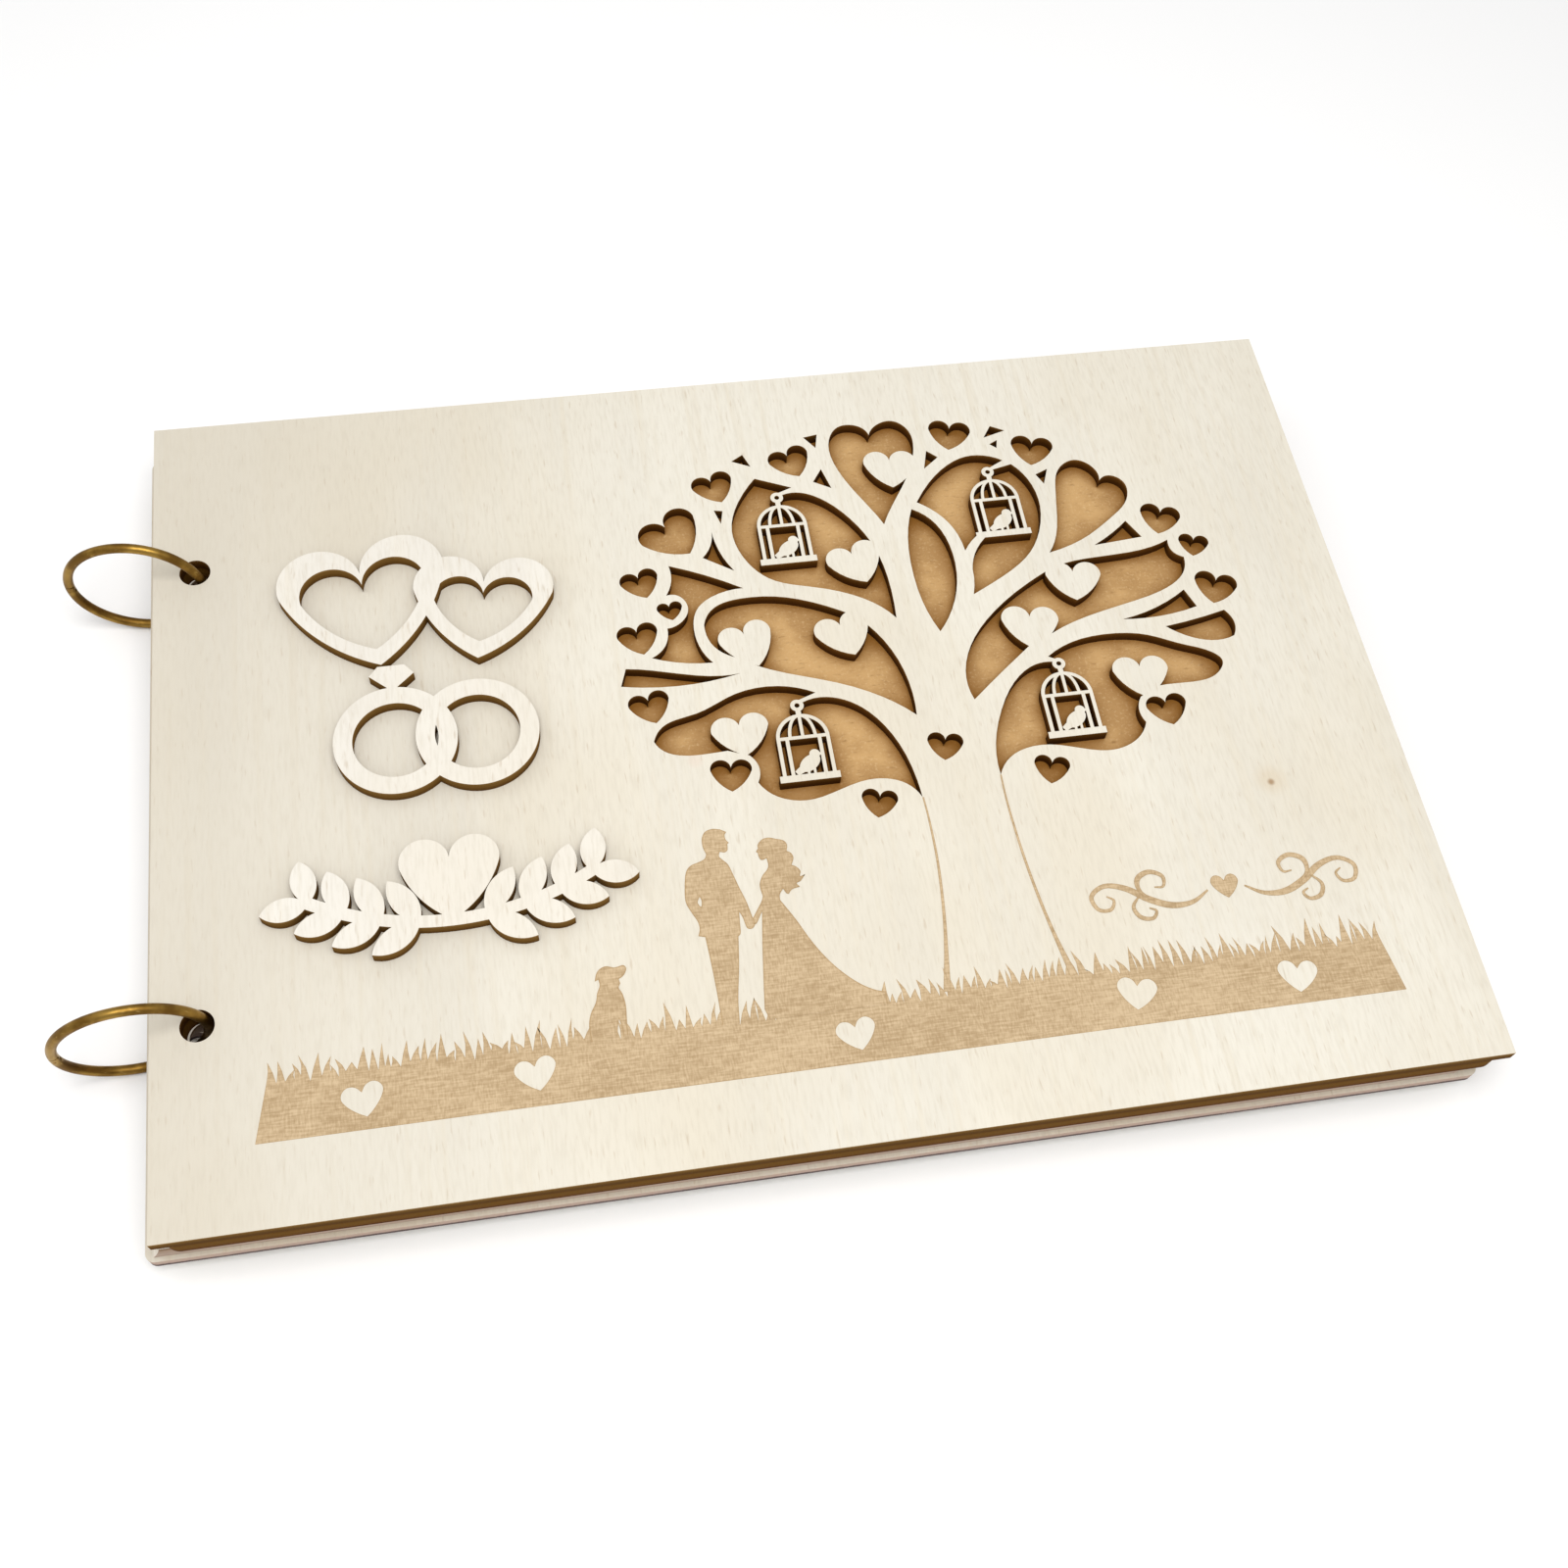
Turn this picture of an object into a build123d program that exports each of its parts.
from build123d import *
import math
import os

# Wedding guest book: a wooden front cover cut through with a tree, a plain wooden back cover,
# loose paper pages between them, and two hinged wire rings that bind everything along the left edge.
# Millimetres. +X runs from the rings to the free edge, +Y from the foot of the cover to its head,
# +Z is up from the table. The origin is on the table, under the middle of the closed book.

# ---------------------------------------------------------------- driving dimensions
cover_length = 280.0
cover_width = 200.0
panel_thickness = 3.0
backing_thickness = 4.0
backing_inset = 1.5
backing_corner_radius = 3.5
back_thickness = 3.0
back_corner_radius = 2.0

page_count = 20
page_thickness = 0.25
page_inset_at_free_edge = 7.0
page_inset_at_sides = 1.0

ring_radius = 15.2
wire_diameter = 2.2
ring_spacing = 112.8
ring_skew = 6.0
axis_below_top = 3.4

hole_to_edge = 9.5
back_hole_to_edge = 10.0
wire_play = 0.3
wire_off_centre_cover = 1.4
wire_off_centre_page = 0.5

hinge_pin_diameter = 0.8
hinge_pin_clearance = 0.05
hinge_slot_width = 0.8
hinge_slot_clearance = 0.07
hinge_shoulder_gap = 0.15
closure_tongue_diameter = 1.0
closure_tongue_length = 1.2
closure_clearance = 0.05

ornament_thickness = 3.0

# ---------------------------------------------------------------- places worked out from them
wire_radius = wire_diameter / 2
ring_reach = ring_radius + wire_radius
axis_z = ring_reach
top_z = axis_z + axis_below_top
panel_bottom_z = top_z - panel_thickness
backing_bottom_z = panel_bottom_z - backing_thickness
back_top_z = backing_bottom_z - page_count * page_thickness
back_bottom_z = back_top_z - back_thickness


def wire_x(height, radius=ring_radius):
    """How far right of the ring's centre a circle of this radius passes at a height over the centre."""
    return math.sqrt(radius**2 - height**2)


cover_hole_from_axis = ring_radius - wire_off_centre_cover
cover_left_from_axis = cover_hole_from_axis - hole_to_edge
axis_x = (ring_reach - cover_left_from_axis - cover_length) / 2
cover_left = axis_x + cover_left_from_axis

# the slanting wire is centred in the back cover's hole
back_wire_outer = wire_x(back_top_z - axis_z, ring_reach)
back_wire_inner = wire_x(back_bottom_z - axis_z, ring_radius - wire_radius)
back_wire_middle = (back_wire_outer + back_wire_inner) / 2
back_hole_x = axis_x + back_wire_middle
back_left = back_hole_x - back_hole_to_edge

# one punch makes every hole, wide enough for the skewed wire in the front cover and in the back cover
skew_share = math.sin(math.radians(ring_skew))
wire_reach_in_front = math.hypot(wire_off_centre_cover, ring_radius * skew_share) + wire_radius
wire_reach_in_back = math.hypot((back_wire_outer - back_wire_inner) / 2, back_wire_middle * skew_share)
hole_radius = max(wire_reach_in_front, wire_reach_in_back) + wire_play

page_length = cover_length - page_inset_at_free_edge
page_width = cover_width - 2 * page_inset_at_sides

ring_y = {"a": ring_spacing / 2, "b": -ring_spacing / 2}
ring_turned = {"a": -ring_skew, "b": ring_skew}


# ---------------------------------------------------------------- outlines on the front cover
# Cover coordinates: x from the left edge, y from the foot, both in millimetres.

def outline(start, *runs):
    """A closed face. Each run is a smooth curve on from the last corner, or a line if it has one point."""
    edges = []
    corner = start
    for run in runs:
        points = [corner, *run]
        edges.append(Line(*points) if len(points) == 2 else Spline(*points))
        corner = run[-1]
    if corner != start:
        edges.append(Line(corner, start))
    return make_face(edges)


def heart(x, y, width, height, tilt):
    """A heart of two lobes and two bowed sides, its middle at x, y, turned by tilt degrees."""
    notch = (0, 0.25 * height)
    tip = (0, -0.5 * height)
    right = (0.5 * width, 0.16 * height)
    left = (-0.5 * width, 0.16 * height)
    edges = [
        ThreePointArc(notch, (0.27 * width, 0.5 * height), right),
        ThreePointArc(right, (0.33 * width, -0.19 * height), tip),
        ThreePointArc(tip, (-0.33 * width, -0.19 * height), left),
        ThreePointArc(left, (-0.27 * width, 0.5 * height), notch),
    ]
    return Pos(x, y) * Rot(0, 0, tilt) * make_face(edges)


def bar(x, y, width, height):
    """An upright rectangle whose foot's middle is at x, y."""
    return Pos(x, y + height / 2) * Rectangle(width, height)


def birdcage(x, y):
    """A domed cage with a bird in it; x, y is the middle of its base plate's underside."""
    base_width = 13.7
    base_height = 1.7
    half_width = 6.1
    rim = 0.85
    inner_post = 3.7
    eaves = 11.2
    rib_width = 0.75
    rib_bow = 3.3
    finial_width = 1.2
    finial_height = 2.0
    hanging_ring_height = 19.6
    hanging_ring = Circle(1.55) - Circle(0.6)
    above_eaves = Pos(0, eaves) * bar(0, 0, 2 * base_width, base_width)
    dome = Circle(half_width) - Circle(half_width - rim)
    ribs = Ellipse(rib_bow, half_width) - Ellipse(rib_bow - rib_width, half_width - rib_width)
    cage = bar(0, 0, base_width, base_height) + bar(0, eaves - rim / 2, 2 * half_width, rim)
    for post in (half_width - rim / 2, inner_post):
        for side in (-1, 1):
            cage += bar(side * post, base_height / 2, rim, eaves - base_height / 2)
    cage += (Pos(0, eaves) * dome) & above_eaves
    cage += (Pos(0, eaves) * ribs) & above_eaves
    cage += bar(0, eaves, rib_width, half_width)
    cage += bar(0, eaves + half_width - rim, finial_width, finial_height)
    cage += Pos(0, hanging_ring_height) * hanging_ring
    cage += bird(base_height)
    return Pos(x, y) * cage


def bird(perch):
    """A small bird that faces right, standing on a line at the perch's height."""
    body = Pos(0.5, perch + 2.7) * Rot(0, 0, 38) * Ellipse(2.8, 1.75)
    head = Pos(1.9, perch + 4.9) * Circle(1.2)
    beak = outline((2.7, perch + 5.4), [(3.8, perch + 4.8)], [(2.7, perch + 4.3)])
    tail = outline((-0.9, perch + 2.9), [(-3.2, perch + 0.9)], [(-2.5, perch - 0.2)], [(0.4, perch + 1.2)])
    legs = bar(-0.1, perch - 0.4, 0.6, 2.2) + bar(1.3, perch - 0.4, 0.6, 2.2)
    return body + head + beak + tail + legs


# windows between the branches: light shines through to the board behind
windows = [
    # above the left bough, round the first cage
    outline((143.2, 168.9), [(151.8, 165.2)], [(148.3, 163.9)], [(148.9, 163.1)],
            [(154.0, 163.3), (158.5, 160.9), (163.8, 155.2), (168.4, 146.5), (170.4, 136.5), (170.3, 124.3)],
            [(163.0, 131.0), (152.0, 135.4), (142.5, 138.8), (136.9, 146.0), (135.4, 154.2),
             (138.2, 162.3), (143.2, 168.9)]),
    # above the right bough, round the second cage
    outline((181.7, 157.2), [(185.3, 162.1), (190.4, 166.9), (197.2, 169.9), (203.0, 169.1), (205.7, 167.6)],
            [(202.0, 165.7)], [(202.5, 165.0)], [(207.6, 166.2)],
            [(210.6, 161.5), (212.0, 155.0), (210.8, 147.3), (206.5, 139.4), (199.5, 133.8), (190.0, 128.7)],
            [(191.2, 134.5), (190.6, 141.7)],
            [(187.7, 151.2), (181.7, 157.2)]),
    # the long almond on the trunk
    outline((180.0, 155.3), [(184.6, 151.0), (187.4, 141.5), (185.3, 128.0), (179.9, 119.3)],
            [(177.4, 128.0), (176.7, 137.5), (177.6, 147.5), (180.0, 155.3)]),
    # left twigs, down past the little round heart
    outline((118.9, 145.4), [(127.5, 141.6), (135.6, 137.0)],
            [(129.0, 135.9), (124.2, 132.6), (122.5, 127.0), (125.7, 117.2)],
            [(118.5, 118.0), (111.8, 120.1)],
            [(115.0, 122.6), (116.4, 127.8)],
            [(120.0, 129.3), (121.9, 132.6), (120.9, 135.9), (117.3, 137.0)],
            [(119.0, 141.0), (118.9, 145.4)]),
    # under the left bough, with two solid hearts
    outline((125.0, 127.8), [(128.5, 132.6), (135.5, 134.2), (144.0, 133.5), (153.0, 130.3), (160.4, 126.2)],
            [(166.4, 118.0), (169.6, 108.0), (169.9, 97.5)],
            [(163.5, 102.9), (153.0, 108.4), (142.0, 112.3), (131.4, 117.8)],
            [(126.3, 121.8), (125.0, 127.8)]),
    # the sliver at the far left
    outline((103.9, 113.3), [(105.5, 117.9)], [(113.0, 116.4), (122.0, 114.1), (131.6, 113.6)],
            [(118.0, 111.9), (103.9, 113.3)]),
    # low left window, round the third cage
    outline((109.5, 98.0), [(112.7, 102.1), (120.2, 104.2), (128.3, 107.8), (136.0, 109.3), (142.5, 108.5),
                            (147.8, 106.3)],
            [(143.6, 104.8)], [(144.2, 104.0)],
            [(149.5, 104.9), (155.8, 102.6), (161.4, 96.7), (165.4, 87.5), (167.0, 76.3)],
            [(162.5, 81.2), (156.0, 82.3), (149.0, 80.6), (142.0, 78.9), (135.5, 80.3), (131.2, 84.7)],
            [(132.0, 88.4), (130.3, 91.8)], [(125.6, 93.6)],
            [(117.2, 93.4), (111.4, 95.3), (109.5, 98.0)]),
    # right of the trunk, with two solid hearts
    outline((184.0, 99.9), [(183.5, 107.5), (187.0, 115.8), (193.0, 122.6), (201.0, 128.7), (209.0, 133.3)],
            [(213.3, 134.9)], [(222.0, 135.9), (232.0, 136.5), (240.9, 138.9)],
            [(241.3, 135.3), (243.6, 133.4)],
            [(242.0, 128.6), (236.8, 124.9), (228.0, 122.2), (217.0, 119.6), (206.5, 115.7)],
            [(199.9, 112.7)], [(192.0, 106.5), (184.0, 99.9)]),
    # the leaf shape at the far right
    outline((233.8, 114.2), [(241.0, 115.3), (249.2, 117.1)], [(250.7, 112.8), (249.6, 109.7)],
            [(245.0, 108.9), (239.3, 110.4), (233.8, 114.2)]),
    # low right window, round the fourth cage
    outline((185.7, 79.7), [(186.4, 88.0), (189.8, 96.8), (194.6, 103.8), (199.6, 107.3), (204.8, 107.7)],
            [(205.3, 108.4)], [(203.7, 109.3)],
            [(211.0, 112.8), (220.0, 113.8), (229.0, 112.3), (236.5, 108.8), (242.3, 106.2), (244.8, 103.2),
             (243.0, 100.2), (237.0, 98.3), (227.8, 98.2)],
            [(222.8, 95.8)], [(221.5, 92.3), (222.3, 89.0)],
            [(219.0, 84.8), (213.0, 82.8), (206.0, 84.0), (198.5, 86.0), (191.3, 85.2), (185.7, 79.7)]),
    # tall heart at the crown
    outline((173.8, 179.3), [(176.0, 182.1), (180.3, 183.1), (183.8, 179.9), (184.2, 174.0), (180.0, 163.8),
                             (172.5, 151.5)],
            [(167.2, 162.0), (163.6, 171.0), (163.3, 178.0), (166.6, 182.7), (171.0, 182.6), (173.8, 179.3)]),
    # leaning heart at the right
    outline((228.6, 158.7), [(228.1, 162.6), (223.8, 165.7), (219.4, 163.6), (217.0, 157.5), (215.4, 149.0),
                             (211.0, 138.5)],
            [(221.0, 142.0), (229.0, 147.3), (234.2, 152.6), (234.4, 157.8), (231.6, 159.9), (228.6, 158.7)]),
    # pointed gaps where twigs fork
    outline((130.5, 154.2), [(129.6, 150.0), (127.3, 146.8)], [(130.6, 144.6), (134.3, 142.2)],
            [(131.6, 148.0), (130.5, 154.2)]),
    outline((232.0, 145.7), [(234.8, 140.5)], [(222.5, 139.4)], [(227.5, 142.3), (232.0, 145.7)]),
    outline((241.0, 124.0), [(242.9, 118.9)], [(233.0, 117.2), (224.0, 117.4)],
            [(233.5, 120.0), (241.0, 124.0)]),
]

# small three-cornered cuts
darts = [
    ((157.2, 180.3), (160.8, 180.9), (159.8, 176.7)),
    ((138.3, 174.8), (141.3, 176.6), (142.8, 172.7)),
    ((157.4, 166.3), (160.0, 170.0), (161.6, 163.9)),
    ((131.9, 160.4), (134.0, 160.0), (133.1, 156.2)),
    ((187.2, 172.7), (189.7, 170.4), (185.6, 167.2)),
    ((204.9, 178.7), (208.3, 176.9), (202.5, 175.2)),
    ((203.5, 173.0), (205.7, 174.1), (205.1, 171.6)),
    ((213.0, 162.3), (216.3, 163.7), (214.5, 159.2)),
]

# hearts cut through: x, y, width, height, tilt
cut_hearts = [
    (193.9, 176.8, 10.5, 9.1, -13),
    (213.7, 169.7, 10.5, 9.1, -14),
    (240.6, 145.1, 9.9, 8.8, -19),
    (246.9, 136.5, 7.4, 6.4, -16),
    (248.8, 123.5, 10.3, 9.0, -20),
    (228.3, 91.6, 9.6, 8.1, 4),
    (197.6, 79.5, 8.1, 7.2, -15),
    (174.7, 88.5, 8.2, 7.1, -12),
    (157.1, 76.0, 8.1, 7.1, -14),
    (125.5, 87.2, 9.3, 8.1, -5),
    (109.9, 106.8, 9.4, 8.3, 11),
    (109.5, 125.5, 9.5, 8.5, 9),
    (117.7, 132.5, 6.0, 5.1, 6),
    (111.8, 140.8, 9.2, 8.0, 14),
    (121.2, 154.0, 15.2, 13.0, 31),
    (133.0, 167.0, 10.2, 9.0, 16),
    (153.0, 172.8, 10.3, 9.2, 17),
]

# hearts left standing in the windows
solid_hearts = [
    (177.2, 168.0, 13.0, 11.2, -4),
    (163.8, 140.9, 13.4, 11.6, 15),
    (134.6, 121.0, 12.4, 12.2, 14),
    (157.4, 121.0, 13.2, 11.6, 14),
    (129.3, 97.2, 13.2, 10.6, 5),
    (215.0, 129.6, 13.4, 11.0, -6),
    (201.5, 117.9, 13.6, 11.6, -8),
    (224.5, 101.2, 13.2, 11.0, -3),
]

# foot of each cage
cages = [(147.75, 142.9), (201.2, 144.8), (143.0, 83.8), (205.8, 87.5)]
cage_stay = outline((188.6, 136.0), [(190.6, 141.4), (194.8, 145.9)], [(196.4, 144.9)],
                    [(192.9, 140.6), (191.0, 133.6)])


def ring_holes(x):
    """The two round holes that the rings pass through, at this x in a plate's own coordinates."""
    holes = Sketch()
    for y in ring_y.values():
        holes += Pos(x, y) * Circle(hole_radius)
    return holes


def front_panel():
    """The cut-through wooden face of the cover."""
    sheet = Pos(cover_length / 2, cover_width / 2) * Rectangle(cover_length, cover_width)
    sheet -= windows
    sheet -= [outline(a, [b], [c]) for a, b, c in darts]
    sheet -= [heart(*place) for place in cut_hearts]
    sheet += [heart(*place) for place in solid_hearts]
    sheet += [birdcage(*foot) for foot in cages]
    sheet += cage_stay
    sheet = Pos(0, -cover_width / 2) * sheet - ring_holes(hole_to_edge)
    return Pos(cover_left, 0, panel_bottom_z) * extrude(sheet, panel_thickness)


def plate(left, length, width, bottom, thickness, hole_x, corner_radius=0.0):
    """A sheet punched for the rings, its corners round if they have a radius; left and hole_x are along X."""
    blank = RectangleRounded(length, width, corner_radius) if corner_radius else Rectangle(length, width)
    sheet = Pos(length / 2, 0) * blank - ring_holes(hole_x - left)
    return Pos(left, 0, bottom) * extrude(sheet, thickness)


def page(number):
    """One page, counted from the bottom; its holes follow the ring, so the stack leans with the wire."""
    bottom = back_top_z + (number - 1) * page_thickness
    middle_height = bottom + page_thickness / 2 - axis_z
    hole_x = axis_x + wire_x(middle_height) - wire_off_centre_page
    return plate(hole_x - hole_to_edge, page_length, page_width, bottom, page_thickness, hole_x)


# ---------------------------------------------------------------- raised ornaments on the cover

def on_cover(sketch):
    """A flat ornament lying on the front panel, drawn in cover coordinates."""
    return Pos(cover_left, -cover_width / 2, top_z) * extrude(sketch, ornament_thickness)


def open_heart(x, y, width, height, tilt, band):
    """A heart-shaped hoop of an even band."""
    inside = heart(x, y - 0.02 * height, width - 2 * band, height - 2.2 * band, tilt)
    return heart(x, y, width, height, tilt) - inside


def linked_hearts():
    """Two open hearts side by side, joined where they cross."""
    band = 4.6
    pair = open_heart(48.5, 141.0, 38.0, 34.5, 8, band)
    pair += open_heart(74.5, 137.0, 32.0, 28.0, -8, band)
    return on_cover(pair)


def linked_rings():
    """Two flat rings linked side by side, with a cut stone on the left one."""
    outer = 13.6
    inner = 9.4
    left_x = 53.0
    right_x = 71.0
    middle_y = 104.0
    stone_width = 10.0
    stone_crown = 6.0
    stone_girdle = 4.4
    stone_height = 6.8
    stone_seat = 1.0
    band = Circle(outer) - Circle(inner)
    ring_pair = Pos(left_x, middle_y) * band + Pos(right_x, middle_y) * band
    foot = middle_y + outer - stone_seat
    girdle = foot + stone_girdle
    crown = foot + stone_height
    stone = outline((left_x, foot), [(left_x + stone_width / 2, girdle)], [(left_x + stone_crown / 2, crown)],
                    [(left_x - stone_crown / 2, crown)], [(left_x - stone_width / 2, girdle)])
    return on_cover(ring_pair + stone)


def blade(x, y, length, width, lean):
    """A pointed leaf whose root is at x, y and whose tip leans that many degrees from +X."""
    tip = (length, 0)
    edges = [
        ThreePointArc((0, 0), (0.45 * length, width / 2), tip),
        ThreePointArc(tip, (0.45 * length, -width / 2), (0, 0)),
    ]
    return Pos(x, y) * Rot(0, 0, lean) * make_face(edges)


def garland():
    """A heart between two leafy sprigs that curve up and outwards."""
    middle_x = 62.5
    foot_y = 59.0
    stem_radius = 62.0
    stem_width = 2.8
    stem_turn = 30.0
    leaf_step = 7.4
    leaf_start = 1.0
    leaf_leans = (52, -38)
    leaves_a_side = 4
    heart_width = 21.0
    heart_height = 19.5
    leaf_length = 12.6
    leaf_shrink = 0.6
    leaf_width = 5.4
    spray = heart(middle_x, foot_y + heart_height / 2, heart_width, heart_height, 0)
    stem_circle = Circle(stem_radius + stem_width / 2) - Circle(stem_radius - stem_width / 2)
    stem_half_span = stem_radius * math.sin(math.radians(stem_turn))
    stem_span = bar(0, foot_y - stem_width, 2 * stem_half_span, stem_radius / 3)
    spray += Pos(middle_x, 0) * ((Pos(0, foot_y + stem_radius) * stem_circle) & stem_span)
    for side in (-1, 1):
        for k in range(1, leaves_a_side + 1):
            turn = math.radians(k * leaf_step - leaf_start)
            x = middle_x + side * stem_radius * math.sin(turn)
            y = foot_y + stem_radius * (1 - math.cos(turn))
            for lean in leaf_leans:
                angle = math.degrees(turn) + lean
                length = leaf_length - leaf_shrink * k
                spray += blade(x, y, length, leaf_width, angle if side > 0 else 180 - angle)
    return on_cover(spray)


# ---------------------------------------------------------------- the binding rings
# Drawn about the ring's centre in the XZ plane: hinge at the far left, closure at the far right.

def across(radius, length, x, z):
    """A rod along Y through x, z."""
    return Pos(x, 0, z) * Rot(90, 0, 0) * Cylinder(radius, length)


hoop = Rot(90, 0, 0) * Torus(ring_radius, wire_radius)
hinge_x = -ring_radius
reach = 4 * wire_diameter
shoulder = wire_radius + hinge_shoulder_gap
lower_side = Pos(0, 0, -2 * ring_radius) * Box(4 * ring_radius, reach, 4 * ring_radius)
upper_side = Pos(0, 0, closure_clearance + 2 * ring_radius) * Box(4 * ring_radius, reach, 4 * ring_radius)
hinge_barrel = across(wire_radius, reach, hinge_x, 0)


def hinge_block(width, bottom, top):
    """The part of the wire round the hinge, between two heights and this wide along Y."""
    return Pos(hinge_x, 0, (bottom + top) / 2) * Box(2 * wire_diameter, width, top - bottom)


def fixed_half():
    """Lower half of a ring: forked at the hinge, with the closure's tongue at the other end."""
    half = hoop & (lower_side + hinge_barrel)
    half -= hinge_block(hinge_slot_width, -shoulder, shoulder)
    half -= across(hinge_pin_diameter / 2, reach, hinge_x, 0)
    root = wire_radius
    tongue = Cylinder(closure_tongue_diameter / 2, closure_tongue_length + root)
    return half + Pos(ring_radius, 0, (closure_tongue_length - root) / 2) * tongue


def swinging_half():
    """Upper half of a ring: an eye between the fork's cheeks, and a socket at the free end."""
    eye_width = hinge_slot_width - 2 * hinge_slot_clearance
    half = (hoop & upper_side) - hinge_block(reach, -shoulder, shoulder)
    half += hoop & hinge_barrel & hinge_block(eye_width, -shoulder, shoulder)
    half += hoop & hinge_block(eye_width, 0, 2 * shoulder)
    half -= across(hinge_pin_diameter / 2 + hinge_pin_clearance, reach, hinge_x, 0)
    socket_depth = closure_tongue_length + closure_clearance
    socket = Cylinder(closure_tongue_diameter / 2 + closure_clearance, 2 * socket_depth)
    return half - Pos(ring_radius, 0, 0) * socket


def hinge_pin():
    """The rivet through a ring's hinge, flush with the cheeks."""
    chord = 2 * math.sqrt(wire_radius**2 - (hinge_pin_diameter / 2) ** 2)
    return across(hinge_pin_diameter / 2, chord, hinge_x, 0)


def in_place(shape, ring):
    """Move a ring part to its place on the book, at the slight skew that a loose ring takes."""
    return Pos(axis_x, ring_y[ring], axis_z) * Rot(0, 0, ring_turned[ring]) * shape


# ---------------------------------------------------------------- every node
nodes = {
    "front_panel": front_panel(),
    "front_backing": plate(cover_left + backing_inset, cover_length - 2 * backing_inset, cover_width,
                           backing_bottom_z, backing_thickness, cover_left + hole_to_edge,
                           backing_corner_radius),
    "back_cover": plate(back_left, cover_length, cover_width, back_bottom_z, back_thickness, back_hole_x,
                        back_corner_radius),
    "ornament_hearts": linked_hearts(),
    "ornament_rings": linked_rings(),
    "ornament_garland": garland(),
}
for number in range(1, page_count + 1):
    nodes[f"page_{number:02d}"] = page(number)
for ring in ring_y:
    nodes[f"ring_{ring}_fixed_half"] = in_place(fixed_half(), ring)
    nodes[f"ring_{ring}_swinging_half"] = in_place(swinging_half(), ring)
    nodes[f"ring_{ring}_hinge_pin"] = in_place(hinge_pin(), ring)

os.makedirs("parts", exist_ok=True)
for name, shape in nodes.items():
    shape.label = name
    export_step(shape, f"parts/{name}.step")
    print(name, len(shape.solids()), "solid(s)", round(shape.volume, 2), "mm3")

print("ring axis at x", round(axis_x, 3), "z", round(axis_z, 3), "cover left edge", round(cover_left, 3))
print("back cover left edge", round(back_left, 3), "bottom", round(back_bottom_z, 3))
print("hole radius", round(hole_radius, 3))
